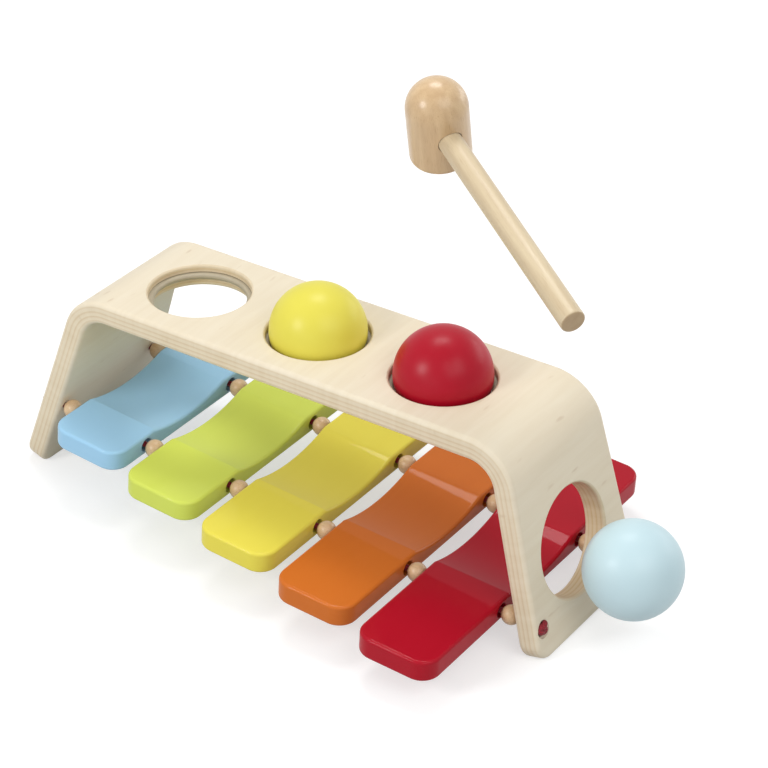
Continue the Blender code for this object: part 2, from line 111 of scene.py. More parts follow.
def turned(name, profile, segments, closed=False):
    """Mesh turned about Z from (radius, height) points. A closed profile is the section of a ring."""
    builder = bmesh.new()
    rings = []
    for radius, height in profile:
        turns = [math.tau * (step + 0.5) / segments for step in range(segments if radius > 0 else 1)]
        rings.append([builder.verts.new((radius * math.cos(a), radius * math.sin(a), height)) for a in turns])
    pairs = list(zip(rings, rings[1:]))
    if closed:
        pairs.append((rings[-1], rings[0]))
    for lower, upper in pairs:
        for step in range(segments):
            after = (step + 1) % segments
            corners = (lower[step % len(lower)], lower[after % len(lower)],
                       upper[after % len(upper)], upper[step % len(upper)])
            builder.faces.new(list(dict.fromkeys(corners)))
    return mesh_of(builder, name)


def stacked(name, outlines):
    """Closed solid through a stack of outlines. Each runs along one side and comes back on the other."""
    builder = bmesh.new()
    loops = [[builder.verts.new(point) for point in outline] for outline in outlines]
    count = len(loops[0])
    for lower, upper in zip(loops, loops[1:]):
        for side in range(count):
            after = (side + 1) % count
            builder.faces.new((lower[side], lower[after], upper[after], upper[side]))
    for cap in (loops[0], loops[-1]):
        for row in range(count // 2 - 1):
            builder.faces.new((cap[row], cap[row + 1], cap[count - 2 - row], cap[count - 1 - row]))
    return mesh_of(builder, name)


def edge_levels(rounding, thickness):
    """(inset, height) of the outlines of a board with rounded edges, from its lower face up."""
    quarter = arc(rounding, 0, math.pi / 2, ROUNDING_STEPS)
    lower = [(rounding - x, rounding - z) for x, z in reversed(quarter)]
    upper = [(rounding - x, thickness - rounding + z) for x, z in quarter]
    return [*lower, *upper]


def remember_place(mesh, rule=None):
    """Stores in the mesh each vertex's place in the wood, which the grain of the finish reads."""
    kept = mesh.attributes.new("wood_place", "FLOAT_VECTOR", "POINT")
    for vertex, item in zip(mesh.vertices, kept.data):
        item.vector = rule(vertex.co) if rule else vertex.co
    return mesh


def added(name, data):
    """New object of some data, linked to the scene."""
    thing = bpy.data.objects.new(name, data)
    bpy.context.scene.collection.objects.link(thing)
    return thing


def show(name, mesh, body, stands_for, place=Matrix.Identity(4)):
    """Object at the origin, its place baked in its mesh, riding on a body in place of CAD nodes."""
    mesh.transform(Matrix.Translation(zero) @ place)
    piece = added(name, mesh)
    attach(piece, body)
    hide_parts(*stands_for)
    print(f"{name}: {len(mesh.polygons)} faces in place of {', '.join(stands_for)}")
    return piece


def even_faces(piece, weight=50):
    """Lets the large faces lead the shading, so that the rounded edges don't bend the light on them."""
    level = piece.modifiers.new("even faces", "WEIGHTED_NORMAL")
    level.keep_sharp = True
    level.weight = weight


# %% [markdown]
# Holes, sockets and grooves are cut with Boolean modifiers, as a drill cuts wood: a cutter body is turned
# on the lathe, put in place and taken away from the piece. The cutters are thrown away once the result is a
# plain mesh.

# %% Helper that drills
def baked(name, thing, *leftovers):
    """Plain mesh of what an object's modifiers make. The object and the leftovers are thrown away."""
    graph = bpy.context.evaluated_depsgraph_get()
    result = bpy.data.meshes.new_from_object(thing.evaluated_get(graph))
    for leftover in (thing, *leftovers):
        bpy.data.objects.remove(leftover, do_unlink=True)
    result.name = name
    return result


def drilled(name, mesh, cutters):
    """Mesh after the cutters, each a (mesh, place) pair, are taken from it."""
    blank = added(name, mesh)
    tools = []
    for number, (shape, place) in enumerate(cutters):
        tool = added(f"{name} tool {number}", shape.copy())
        tool.matrix_world = place
        cut = blank.modifiers.new(tool.name, "BOOLEAN")
        cut.operation = "DIFFERENCE"
        cut.solver = "EXACT"
        cut.object = tool
        tools.append(tool)
    result = smoothed(baked(name, blank, *tools))
    print(f"{name}: drilled {len(cutters)} times, {len(result.polygons)} faces")
    return result


# %% [markdown]
# The bench is one birch plywood board, bent into a bridge. Its left leg splays more than its right one, and
# both legs grow a little deeper towards the feet. The board is drawn as outlines through its thickness:
# each runs along the front edge from foot to foot and comes back along the rear edge, and the outer few are
# drawn in a little, which rounds the edges. The bends get many steps here, because light shows every facet
# of a bend.

# %% Sizes of the bench
BENCH_HEIGHT = 0.1077
BOARD_DEPTH = 0.078
BOARD_THICKNESS = 0.0117
LEFT_REACH, LEFT_SPLAY = 0.1213, math.radians(19.9)
RIGHT_REACH, RIGHT_SPLAY = 0.1317, math.radians(12.8)
FRONT_FLARE, REAR_FLARE = math.radians(2.0), math.radians(5.1)
BEND_RADIUS = 0.0262
FOOT_CORNER_RADIUS = 0.010
FOOT_SANDING = 0.0025
BOARD_ROUNDING = 0.0027
FOOT_CORNER_STEPS, BEND_STEPS = 10, 30


def edges_at(height):
    """Distances of the front and rear edge from the balls' line at a height."""
    below = BENCH_HEIGHT - height
    return [BOARD_DEPTH / 2 + below * math.tan(flare) for flare in (FRONT_FLARE, REAR_FLARE)]


def leg_outer_x(height, reach, splay):
    """Distance of a leg's outer face from the middle hole at a height."""
    return reach + (BENCH_HEIGHT - height) * math.tan(splay)


def bend_centre(reach, splay):
    """x and z of the middle of a bend, with x away from the middle hole."""
    return reach - BEND_RADIUS * math.tan((math.pi / 2 - splay) / 2), BENCH_HEIGHT - BEND_RADIUS


print("feet at", round(-leg_outer_x(0, LEFT_REACH, LEFT_SPLAY), 4),
      round(leg_outer_x(0, RIGHT_REACH, RIGHT_SPLAY), 4))


# %% Bend the board
def board_side(reach, splay, side, inset):
    """(x, z, outward x, outward z, [front edge, rear edge]) on the outer face, from a foot to the top."""
    along, lean = math.cos(splay), math.sin(splay)
    leg_length = (BENCH_HEIGHT - BOARD_THICKNESS * lean + FOOT_SANDING) / along
    stations = []
    for x, y in arc(FOOT_CORNER_RADIUS - inset, 0, math.pi / 2, FOOT_CORNER_STEPS):
        down = leg_length - FOOT_CORNER_RADIUS + x
        height = BENCH_HEIGHT - down * along
        edges = [edge - FOOT_CORNER_RADIUS + y for edge in edges_at(height)]
        stations.append((side * (reach + down * lean), height, side * along, lean, edges))
    centre_x, centre_z = bend_centre(reach, splay)
    for across, up in arc(1, splay, math.pi / 2, BEND_STEPS):
        height = centre_z + BEND_RADIUS * up
        edges = [edge - inset for edge in edges_at(height)]
        stations.append((side * (centre_x + BEND_RADIUS * across), height, side * across, up, edges))
    return stations


def board_blank():
    """The bent board before it is drilled, from its inner face out."""
    outlines = []
    for inset, height in edge_levels(BOARD_ROUNDING, BOARD_THICKNESS):
        depth = BOARD_THICKNESS - height
        left = board_side(LEFT_REACH, LEFT_SPLAY, -1, inset)
        right = board_side(RIGHT_REACH, RIGHT_SPLAY, 1, inset)
        stations = [*left, *reversed(right)]
        front = [(x - depth * nx, -edges[0], z - depth * nz) for x, z, nx, nz, edges in stations]
        rear = [(x - depth * nx, edges[1], z - depth * nz) for x, z, nx, nz, edges in stations]
        outlines.append([*front, *reversed(rear)])
    return stacked("board blank", outlines)


# %% [markdown]
# The holes are drilled after the bending: three for the balls, with a groove for a rubber ring in each, one
# in the right leg where the balls roll out, and four small ones for the cords, each sunk from outside for
# its knot. Last a flat block stands for the sanding belt that levels the feet.

# %% Sizes of the holes
HOLE_PITCH = 0.07215
BALL_HOLES = {"left": -1, "middle": 0, "right": 1}
HOLE_CLEARANCE, EXIT_CLEARANCE = 0.0017, 0.0035
HOLE_RADIUS, EXIT_RADIUS = BALL_RADIUS + HOLE_CLEARANCE, BALL_RADIUS + EXIT_CLEARANCE
HOLE_ROUNDING, HOLE_ROUNDING_TURN = 0.0014, math.radians(80)
RING_GRIP, RING_SEAT = 0.00088, 0.002
RING_INNER_RADIUS, RING_OUTER_RADIUS = BALL_RADIUS - RING_GRIP, HOLE_RADIUS + RING_SEAT
RING_HEIGHT, RING_DEPTH = 0.003, 0.0055
EXIT_LIP_DROP, ROLL_HEIGHT = 0.0014, 0.0019
COUNTERBORE_RADIUS, COUNTERBORE_DEPTH, COUNTERBORE_CHAMFER = 0.0043, 0.0055, 0.0003
CORD_RADIUS, CORD_CLEARANCE = 0.0015, 0.0005
BEAD_RADIUS = 0.0049
GAP = 0.0003
OVERRUN = 0.003
BELT_REACH, BELT_DEPTH = 0.25, 0.01
HOLE_SEGMENTS, CORD_HOLE_SEGMENTS = 96, 40
print("ball holes:", round(2 * HOLE_RADIUS, 5), "exit hole:", round(2 * EXIT_RADIUS, 5))

# %% [markdown]
# The cords hang from leg to leg with a bead at each gap between the bars. The whole row is a rule: the
# first and the last bead touch the legs, the others stand at equal steps, and the cords dip a little
# between the ends.

# %% The row of bars and beads as a rule
ROW_LEFT_HEIGHT, ROW_RIGHT_HEIGHT, ROW_DIP = 0.0368, 0.0172, 0.0016
ROW_FORWARD, CORD_EDGE_DISTANCE = 0.001, 0.004
CORD_SPACING = BOARD_DEPTH - 2 * CORD_EDGE_DISTANCE
BAR_NAMES = ("blue_bar", "green_bar", "yellow_bar", "orange_bar", "red_bar")
BEADS_ON_CORD = len(BAR_NAMES) + 1


def end_bead_x(height, reach, splay):
    """Distance from the middle hole of a bead that touches a leg."""
    return leg_outer_x(height, reach, splay) - (BOARD_THICKNESS + BEAD_RADIUS + GAP) / math.cos(splay)


ROW_START = -end_bead_x(ROW_LEFT_HEIGHT, LEFT_REACH, LEFT_SPLAY)
ROW_END = end_bead_x(ROW_RIGHT_HEIGHT, RIGHT_REACH, RIGHT_SPLAY)
ROW_PITCH = (ROW_END - ROW_START) / len(BAR_NAMES)
BAR_WIDTH = ROW_PITCH - 2 * (BEAD_RADIUS + GAP)


def row_slope(x):
    """Rise of the cords for each step along X."""
    share = (x - ROW_START) / (ROW_END - ROW_START)
    return (ROW_RIGHT_HEIGHT - ROW_LEFT_HEIGHT - 4 * ROW_DIP * (1 - 2 * share)) / (ROW_END - ROW_START)


def row_height(x):
    """Height of the cords: a straight fall with a dip, full at mid-span, and straight past the beads."""
    inside = min(max(x, ROW_START), ROW_END)
    share = (inside - ROW_START) / (ROW_END - ROW_START)
    fall = ROW_LEFT_HEIGHT + (ROW_RIGHT_HEIGHT - ROW_LEFT_HEIGHT) * share
    return fall - 4 * ROW_DIP * share * (1 - share) + (x - inside) * row_slope(inside)


def row_tilt(x):
    """Turn about Y that lays a piece along the cords."""
    return -math.atan(row_slope(x))


def cord_rows():
    """Name and y of the front and the rear cord."""
    return [("front", -ROW_FORWARD - CORD_SPACING / 2), ("rear", -ROW_FORWARD + CORD_SPACING / 2)]


def cord_exits():
    """Name, x on the outer face, and the turn about Y that points outwards along the cord."""
    exits = []
    for label, side, bead_x, reach, splay in (("left", -1, ROW_START, LEFT_REACH, LEFT_SPLAY),
                                              ("right", 1, ROW_END, RIGHT_REACH, RIGHT_SPLAY)):
        slope = row_slope(bead_x)
        face_x = side * leg_outer_x(row_height(bead_x), reach, splay)
        steepness = side * math.tan(splay)
        x = (face_x + steepness * slope * bead_x) / (1 + steepness * slope)
        exits.append((label, x, side * math.pi / 2 + row_tilt(bead_x)))
    return exits


print("row from", round(ROW_START, 4), "to", round(ROW_END, 4), "bar width", round(BAR_WIDTH, 4))


# %% Drill the board
def hole_profile(radius, groove=()):
    """Drill for a hole with rounded rims through the board. Height 0 is the outer face."""
    wide = radius + HOLE_ROUNDING
    quarter = arc(HOLE_ROUNDING, HOLE_ROUNDING_TURN, 0, ROUNDING_STEPS)
    rim = [(wide - x, z - HOLE_ROUNDING) for x, z in quarter]
    far_rim = [(r, -BOARD_THICKNESS - z) for r, z in reversed(rim)]
    top = [(0, OVERRUN), (wide, OVERRUN)]
    bottom = [(wide, -BOARD_THICKNESS - OVERRUN), (0, -BOARD_THICKNESS - OVERRUN)]
    return [*top, *rim, *groove, *far_rim, *bottom]


def exit_hole_place():
    """Place of the exit hole: its axis square to the right leg, its lip just below a rolling ball."""
    first, last = ROW_START + ROW_PITCH / 2, ROW_END - ROW_PITCH / 2
    slope = (row_height(last) - row_height(first)) / (last - first)
    leg_x = leg_outer_x(ROW_RIGHT_HEIGHT + BALL_RADIUS, RIGHT_REACH, RIGHT_SPLAY)
    rolling = row_height(last) + (leg_x - last) * slope + ROLL_HEIGHT + BALL_RADIUS
    height = rolling - BALL_RADIUS - EXIT_LIP_DROP + EXIT_RADIUS * math.cos(RIGHT_SPLAY)
    spot = Vector((leg_outer_x(height, RIGHT_REACH, RIGHT_SPLAY), 0, height))
    return Matrix.Translation(spot) @ Matrix.Rotation(math.pi / 2 - RIGHT_SPLAY, 4, "Y")


def board_cutters():
    """(cutter, place) pairs for the ball holes, the exit hole, the cord holes and the sanding of the feet."""
    groove_radius = RING_OUTER_RADIUS + GAP
    upper, lower = (-RING_DEPTH + side * (RING_HEIGHT / 2 + GAP) for side in (1, -1))
    groove = [(HOLE_RADIUS, upper), (groove_radius, upper), (groove_radius, lower), (HOLE_RADIUS, lower)]
    ball_hole = turned("ball hole", hole_profile(HOLE_RADIUS, groove), HOLE_SEGMENTS)
    cutters = [(ball_hole, Matrix.Translation((step * HOLE_PITCH, 0, BENCH_HEIGHT)))
               for step in BALL_HOLES.values()]
    cutters.append((turned("exit hole", hole_profile(EXIT_RADIUS), HOLE_SEGMENTS), exit_hole_place()))
    bore, wide, deep = CORD_RADIUS + CORD_CLEARANCE, COUNTERBORE_RADIUS, -BOARD_THICKNESS - 2 * OVERRUN
    rim = wide + COUNTERBORE_CHAMFER
    cord_hole = turned("cord hole", [
        (0, OVERRUN), (rim, OVERRUN), (rim, 0), (wide, -COUNTERBORE_CHAMFER), (wide, -COUNTERBORE_DEPTH),
        (bore, -COUNTERBORE_DEPTH), (bore, deep), (0, deep)], CORD_HOLE_SEGMENTS)
    for _, x, outward in cord_exits():
        for _, y in cord_rows():
            spot = Matrix.Translation((x, y, row_height(x))) @ Matrix.Rotation(outward, 4, "Y")
            cutters.append((cord_hole, spot))
    corners = [(x * BELT_REACH, y * BELT_REACH) for x, y in ((-1, -1), (1, -1), (1, 1), (-1, 1))]
    belt = stacked("sanding belt", [[(x, y, z) for x, y in corners] for z in (-BELT_DEPTH, 0)])
    return [*cutters, (belt, Matrix.Identity(4))]


board = drilled("bent board", board_blank(), board_cutters())


# %% [markdown]
# Plywood shows two faces of wood at once: a quiet veneer on the flat sides, and stripes of glued layers on
# every edge and hole wall. To paint both from one material, each vertex learns where it lies in the unbent
# board: how far along it, how far across, and how deep below the outer face. Depth then picks the layer.

# %% Where a point lies in the unbent board
WALL_EDGE = HOLE_ROUNDING * 0.7
WALL_MARGIN = 0.0005


def place_in_board(point):
    """(along, across, depth) of a point, with the bends laid flat."""
    side = 1 if point.x > 0 else -1
    reach, splay = (RIGHT_REACH, RIGHT_SPLAY) if side > 0 else (LEFT_REACH, LEFT_SPLAY)
    x = side * point.x
    centre_x, centre_z = bend_centre(reach, splay)
    if x <= centre_x:
        return Vector((side * x, point.y, BENCH_HEIGHT - point.z))
    turn = math.atan2(point.z - centre_z, x - centre_x)
    reached = min(max(turn, splay), math.pi / 2)
    middle = BEND_RADIUS - BOARD_THICKNESS / 2
    outward = Vector((math.cos(reached), math.sin(reached)))
    offset = Vector((x - centre_x, point.z - centre_z))
    along = centre_x + middle * (math.pi / 2 - reached)
    if turn < splay:
        along += offset.dot(Vector((outward.y, -outward.x)))
    return Vector((side * along, point.y, BEND_RADIUS - offset.dot(outward)))


def wall_of_bore(point):
    """1 on the wall of a ball hole or of the exit hole, 0 elsewhere."""
    near_top = point.z > BENCH_HEIGHT - BOARD_THICKNESS - WALL_MARGIN
    from_axis = min(math.hypot(point.x - step * HOLE_PITCH, point.y) for step in BALL_HOLES.values())
    spot = exit_hole_place().inverted() @ point
    in_leg = abs(spot.z) < 2 * BOARD_THICKNESS
    return float(near_top and from_axis < HOLE_RADIUS + WALL_EDGE
                 or in_leg and math.hypot(spot.x, spot.y) < EXIT_RADIUS + WALL_EDGE)


remember_place(board, place_in_board)
walls = board.attributes.new("bored_wall", "FLOAT", "POINT")
for vertex, item in zip(board.vertices, walls.data):
    item.value = wall_of_bore(vertex.co)
print("points on bored walls:", sum(item.value > 0 for item in walls.data))
bent_board = show("bent_board", board, "bench", ["bench"])
even_faces(bent_board, weight=100)

# %% [markdown]
# Three rubber rings sit in the grooves and grip the balls. A ring is a short lathe profile: a round lip
# towards the ball and a flat back in the groove.

# %% Rubber rings
RING_LIP_STEPS = 12


def ring_mesh():
    """Section of a ring, its round lip inwards, turned once about Z."""
    lip = RING_HEIGHT / 2
    half_turn = arc(lip, math.pi / 2, math.pi * 1.5, RING_LIP_STEPS)
    inner = [(RING_INNER_RADIUS + lip + x, z) for x, z in half_turn]
    outer = [(RING_OUTER_RADIUS, -lip), (RING_OUTER_RADIUS, lip)]
    return turned("rubber ring", [*inner, *outer], HOLE_SEGMENTS, closed=True)


rings = []
for label, step in BALL_HOLES.items():
    place = Matrix.Translation((step * HOLE_PITCH, 0, BENCH_HEIGHT - RING_DEPTH))
    ring = remember_place(ring_mesh())
    rings.append(show(f"{label}_rubber_ring", ring, "bench", [f"{label}_ring"], place))

# %% [markdown]
# The balls are turned from wood, sanded and dipped in gloss paint. All have the radius that was read above,
# and each takes its place from its CAD node's box. The light blue one is finer than its solid, so it is
# kept inside the model's box. The two small flats at the poles are where the lathe held the blank.

# %% Balls
BALL_FLAT_RADIUS = 0.0016
BALL_SEGMENTS, BALL_STEPS = 88, 44
BALL_TURNS = {
    "yellow_ball": (0.5, 0.3, 0.0),
    "red_ball": (-0.4, 0.6, 1.0),
    "light_blue_ball": (0.2, 1.2, 0.4),
}


def ball_mesh():
    """Ball with a small flat at each pole."""
    tip = math.acos(BALL_FLAT_RADIUS / BALL_RADIUS)
    side = arc(BALL_RADIUS, -tip, tip, BALL_STEPS)
    return turned("turned ball", [(0, side[0][1]), *side, (0, side[-1][1])], BALL_SEGMENTS)


balls = []
for name, turn in BALL_TURNS.items():
    low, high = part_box(name)
    centre = (low + high) / 2
    centre.x = min(centre.x, cad_box[1].x - BALL_RADIUS)
    place = Matrix.Translation(centre - zero) @ Euler(turn).to_matrix().to_4x4()
    ball = remember_place(ball_mesh())
    balls.append(show(f"turned_{name}", ball, name, [name], place))

# %% [markdown]
# The five bars are one shape that grows longer from left to right. That is a rule, so Geometry Nodes carry
# it: a drilled blank goes in, the nodes press the hollow into its top, pull its ends apart by the bar's own
# stretch, and note each point's place in the wood. The blank itself is made in mesh code, because rounded
# corners and drilled bores are easier there.

# %% Blank of a bar
BAR_THICKNESS, BAR_RISE = 0.0113, 0.006
BAR_CORNER_RADIUS, BAR_ROUNDING = 0.0098, 0.0016
HOLLOW_CORD_DISTANCE, HOLLOW_DEPTH = 0.006, 0.005
HOLLOW_WIDTH = CORD_SPACING - 2 * HOLLOW_CORD_DISTANCE
BAR_SHORTEST, BAR_LENGTH_STEP = 0.1195, 0.0189
PAD_END, PAD_END_MARGIN = 0.0425, 0.0001
BOUNCE_ROOM, BAR_BORE_CHAMFER = 0.0022, 0.0004
BAR_CORNER_STEPS, HOLLOW_STEPS, BAR_BORE_SEGMENTS = 12, 36, 32


def bar_outline(inset):
    """Half of the blank's rounded plan outline as (x, y) points, from the rear end to the front end."""
    centre_x = BAR_WIDTH / 2 - BAR_CORNER_RADIUS
    centre_y = BAR_SHORTEST / 2 - BAR_CORNER_RADIUS
    rounded = arc(BAR_CORNER_RADIUS - inset, math.pi / 2, 0, BAR_CORNER_STEPS)
    corner = [(centre_x + x, centre_y + y) for x, y in rounded]
    hollow = [HOLLOW_WIDTH / 2 - HOLLOW_WIDTH * step / HOLLOW_STEPS for step in range(HOLLOW_STEPS + 1)]
    side = [(BAR_WIDTH / 2 - inset, y) for y in (PAD_END, *hollow, -PAD_END)]
    return [*corner, *side, *[(x, -y) for x, y in reversed(corner)]]


def bar_blank():
    """Flat blank as long as the shortest bar, with a bore for each cord."""
    outlines = []
    for inset, height in edge_levels(BAR_ROUNDING, BAR_THICKNESS):
        half = [(x, y, BAR_RISE - BAR_THICKNESS + height) for x, y in bar_outline(inset)]
        outlines.append([*half, *[(-x, y, z) for x, y, z in reversed(half)]])
    bore, side = CORD_RADIUS + BOUNCE_ROOM, BAR_WIDTH / 2
    rim, far, near = bore + BAR_BORE_CHAMFER, side + OVERRUN, side - BAR_BORE_CHAMFER
    drill = turned("bar bore", [
        (0, -far), (rim, -far), (rim, -side), (bore, -near),
        (bore, near), (rim, side), (rim, far), (0, far)], BAR_BORE_SEGMENTS)
    across = Matrix.Rotation(math.pi / 2, 4, "Y")
    places = [Matrix.Translation((0, end * CORD_SPACING / 2, 0)) @ across for end in (-1, 1)]
    return drilled("bar blank", stacked("bar blank", outlines), [(drill, place) for place in places])


blank = bar_blank()


# %% [markdown]
# A node tree written in code is many small boxes. These helpers make a box and fill its inputs in one line,
# bake what a tree makes, and end each geometry tree in the same way: instances made real and a material
# set.

# %% Helpers for node trees
def feed(tree, node, inputs):
    """Fills a node's inputs, each with a value or with another node's output."""
    for socket, value in inputs.items():
        if isinstance(value, bpy.types.NodeSocket):
            tree.links.new(value, node.inputs[socket])
        else:
            node.inputs[socket].default_value = value


def add_node(tree, kind, inputs=None, **settings):
    """Node with its settings and inputs."""
    made = tree.nodes.new(kind)
    for key, value in settings.items():
        setattr(made, key, value)
    feed(tree, made, inputs or {})
    return made


def math_node(tree, operation, *values, **settings):
    """Output of a Math node."""
    made = add_node(tree, "ShaderNodeMath", dict(enumerate(values)), operation=operation, **settings)
    return made.outputs[0]


def product(tree, first, *others):
    """Output of Math nodes that multiply values one after the other."""
    for value in others:
        first = math_node(tree, "MULTIPLY", first, value)
    return first


def difference(tree, first, second):
    """Output of a Math node that subtracts."""
    return math_node(tree, "SUBTRACT", first, second)


def new_tree(name, inputs):
    """Geometry tree with named inputs, and their outputs inside it."""
    tree = bpy.data.node_groups.new(name, "GeometryNodeTree")
    for label, kind in {"Geometry": "Geometry", **inputs}.items():
        tree.interface.new_socket(label, in_out="INPUT", socket_type=f"NodeSocket{kind}")
    tree.interface.new_socket("Geometry", in_out="OUTPUT", socket_type="NodeSocketGeometry")
    return tree, tree.nodes.new("NodeGroupInput").outputs


def end_tree(tree, geometry, material):
    """Last nodes of a tree: instances made real, a material and the output."""
    whole = add_node(tree, "GeometryNodeRealizeInstances", {"Geometry": geometry})
    dressed = add_node(tree, "GeometryNodeSetMaterial", {"Geometry": whole.outputs[0], "Material": material})
    add_node(tree, "NodeGroupOutput", {"Geometry": dressed.outputs[0]})
    return tree


def made_by_nodes(name, data, tree, values):
    """Plain mesh that a tree makes from a mesh or curve and the values of its named inputs."""
    host = added(name, data)
    modifier = host.modifiers.new(name, "NODES")
    modifier.node_group = tree
    sockets = {item.name: item.identifier for item in tree.interface.items_tree if item.in_out == "INPUT"}
    for label, value in values.items():
        modifier[sockets[label]] = value
    result = baked(name, host)
    print(f"{name}: nodes made {len(result.polygons)} faces")
    return result


# %% [markdown]
# Before the bars can be made, their lacquer has to exist, because the tree hands it out. The paints on this
# toy are glossy: a coloured body under a thin clear coat. A faint, very long noise along the wood makes the
# colour live a little, and a fine bump lets the grain show through the lacquer as it does on the real bars.

# %% Helpers for finishes
def new_material(name):
    """Material with its tree and its shader."""
    material = bpy.data.materials.new(name)
    material.use_nodes = True
    tree = material.node_tree
    return material, tree, tree.nodes["Principled BSDF"]


def stored(tree, name):
    """Output of a place or a shift that is stored in the mesh."""
    return add_node(tree, "ShaderNodeAttribute", attribute_name=name).outputs["Vector"]


def noise(tree, place, stretch, detail, distortion=0.0):
    """Output of a noise that is finer along an axis where the stretch is larger."""
    spot = add_node(tree, "ShaderNodeMapping", {"Vector": place, "Scale": stretch}).outputs[0]
    return add_node(tree, "ShaderNodeTexNoise", {"Vector": spot, "Scale": 1.0, "Detail": detail,
                                                 "Distortion": distortion}).outputs["Fac"]


def spread(tree, value, start=0.0, end=1.0, low=0.0, high=1.0):
    """Output of a Map Range node: from a start and an end to a low and a high value."""
    return add_node(tree, "ShaderNodeMapRange", {"Value": value, "From Min": start, "From Max": end,
                                                 "To Min": low, "To Max": high}).outputs["Result"]


def blend(tree, factor, *colours):
    """Output between two colours, each a colour or another node's output. Sockets 6, 7 and 2 are colours."""
    ends = [value if isinstance(value, bpy.types.NodeSocket) else (*value, 1) for value in colours]
    made = add_node(tree, "ShaderNodeMix", {"Factor": factor, 6: ends[0], 7: ends[1]}, data_type="RGBA")
    return made.outputs[2]


def relief(tree, height, strength, distance):
    """Output of a Bump node."""
    return add_node(tree, "ShaderNodeBump", {"Height": height, "Strength": strength,
                                             "Distance": distance}).outputs["Normal"]


# %% Paint and lacquer
PAINT_SPECULAR = 0.05
FINE_GRAIN = 12


def lacquer(name, colour, light, roughness=0.38, coat=0.20, coat_roughness=0.04,
            grain=(60, 8, 60), bump=0.015):
    """Gloss lacquer: two near tones that drift along the grain, under a clear coat."""
    material, tree, shader = new_material(name)
    place = stored(tree, "wood_place")
    drift = noise(tree, place, grain, 3.0)
    fine = noise(tree, place, [v * FINE_GRAIN for v in grain], 4.0)
    feed(tree, shader, {
        "Base Color": blend(tree, drift, colour, light), "Normal": relief(tree, fine, bump, 0.0005),
        "Roughness": spread(tree, drift, low=roughness - 0.03, high=roughness + 0.05),
        "Specular IOR Level": PAINT_SPECULAR, "Coat Weight": coat, "Coat Roughness": coat_roughness})
    return material


BAR_TONES = {
    "blue_bar": ((0.328, 0.580, 0.790), (0.358, 0.610, 0.820)),
    "green_bar": ((0.595, 0.680, 0.100), (0.635, 0.720, 0.125)),
    "yellow_bar": ((0.745, 0.650, 0.076), (0.785, 0.690, 0.094)),
    "orange_bar": ((0.565, 0.138, 0.016), (0.615, 0.163, 0.022)),
    "red_bar": ((0.390, 0.003, 0.014), (0.430, 0.004, 0.018)),
}
bar_lacquers = {name: lacquer(f"{name} lacquer", *tones) for name, tones in BAR_TONES.items()}
print("lacquers:", sorted(bar_lacquers))


# %% Tree of the bars
def bar_tree():
    """Blank in, bar out: the ends pulled apart and a round hollow pressed into the upper half."""
    tree, given = new_tree("growing bar", {"Stretch": "Float", "Pad end": "Float", "Half hollow": "Float",
                                           "Hollow depth": "Float", "Upper half from": "Float",
                                           "Lacquer": "Material"})
    spot = add_node(tree, "GeometryNodeInputPosition").outputs[0]
    axes = add_node(tree, "ShaderNodeSeparateXYZ", {0: spot}).outputs
    y, z = axes["Y"], axes["Z"]
    beyond = math_node(tree, "GREATER_THAN", math_node(tree, "ABSOLUTE", y), given["Pad end"])
    pull = product(tree, math_node(tree, "SIGN", y), beyond, given["Stretch"])
    half, depth = given["Half hollow"], given["Hollow depth"]
    chord = math_node(tree, "ADD", product(tree, half, half), product(tree, depth, depth))
    radius = math_node(tree, "DIVIDE", chord, product(tree, depth, 2.0))
    rise = difference(tree, product(tree, radius, radius), product(tree, y, y))
    drop = difference(tree, math_node(tree, "SQRT", math_node(tree, "MAXIMUM", rise, 0.0)),
                      difference(tree, radius, depth))
    upper = math_node(tree, "GREATER_THAN", z, given["Upper half from"])
    press = product(tree, math_node(tree, "MAXIMUM", drop, 0.0), upper, -1.0)
    offset = add_node(tree, "ShaderNodeCombineXYZ", {"Y": pull, "Z": press}).outputs[0]
    moved = add_node(tree, "GeometryNodeSetPosition", {"Geometry": given["Geometry"], "Offset": offset})
    noted = add_node(tree, "GeometryNodeStoreNamedAttribute", {
        "Geometry": moved.outputs[0], "Name": "wood_place", "Value": spot},
        data_type="FLOAT_VECTOR", domain="POINT")
    return end_tree(tree, noted.outputs[0], given["Lacquer"])


# %% Five bars
growing_bar = bar_tree()
for number, name in enumerate(BAR_NAMES):
    sizes = {"Stretch": BAR_LENGTH_STEP * number / 2, "Pad end": PAD_END - PAD_END_MARGIN,
             "Half hollow": HOLLOW_WIDTH / 2, "Hollow depth": HOLLOW_DEPTH,
             "Upper half from": BAR_RISE - BAR_THICKNESS / 2, "Lacquer": bar_lacquers[name]}
    bar = smoothed(made_by_nodes(f"painted_{name}", blank.copy(), growing_bar, sizes))
    x = ROW_START + ROW_PITCH * (number + 1 / 2)
    place = Matrix.Translation((x, -ROW_FORWARD, row_height(x))) @ Matrix.Rotation(row_tilt(x), 4, "Y")
    even_faces(show(f"painted_{name}", bar, name, [name], place))

# %% [markdown]
# Twelve beech beads keep the bars apart, six on each cord. They repeat along the row, so a tree places
# them: a line of points between the end beads, lowered by the cords' dip, with one turned bead on each and
# a random turn about the cord, as loose beads have. The seed is fixed, so every run gives the same beads.

# %% Bare woods
ACROSS_GRAIN, ALONG_GRAIN = 9, 0.5
RING_SCALE, PORE_SCALE = 28, 330
DARK_SHARE = 0.34
WOOD_SPECULAR = 0.25


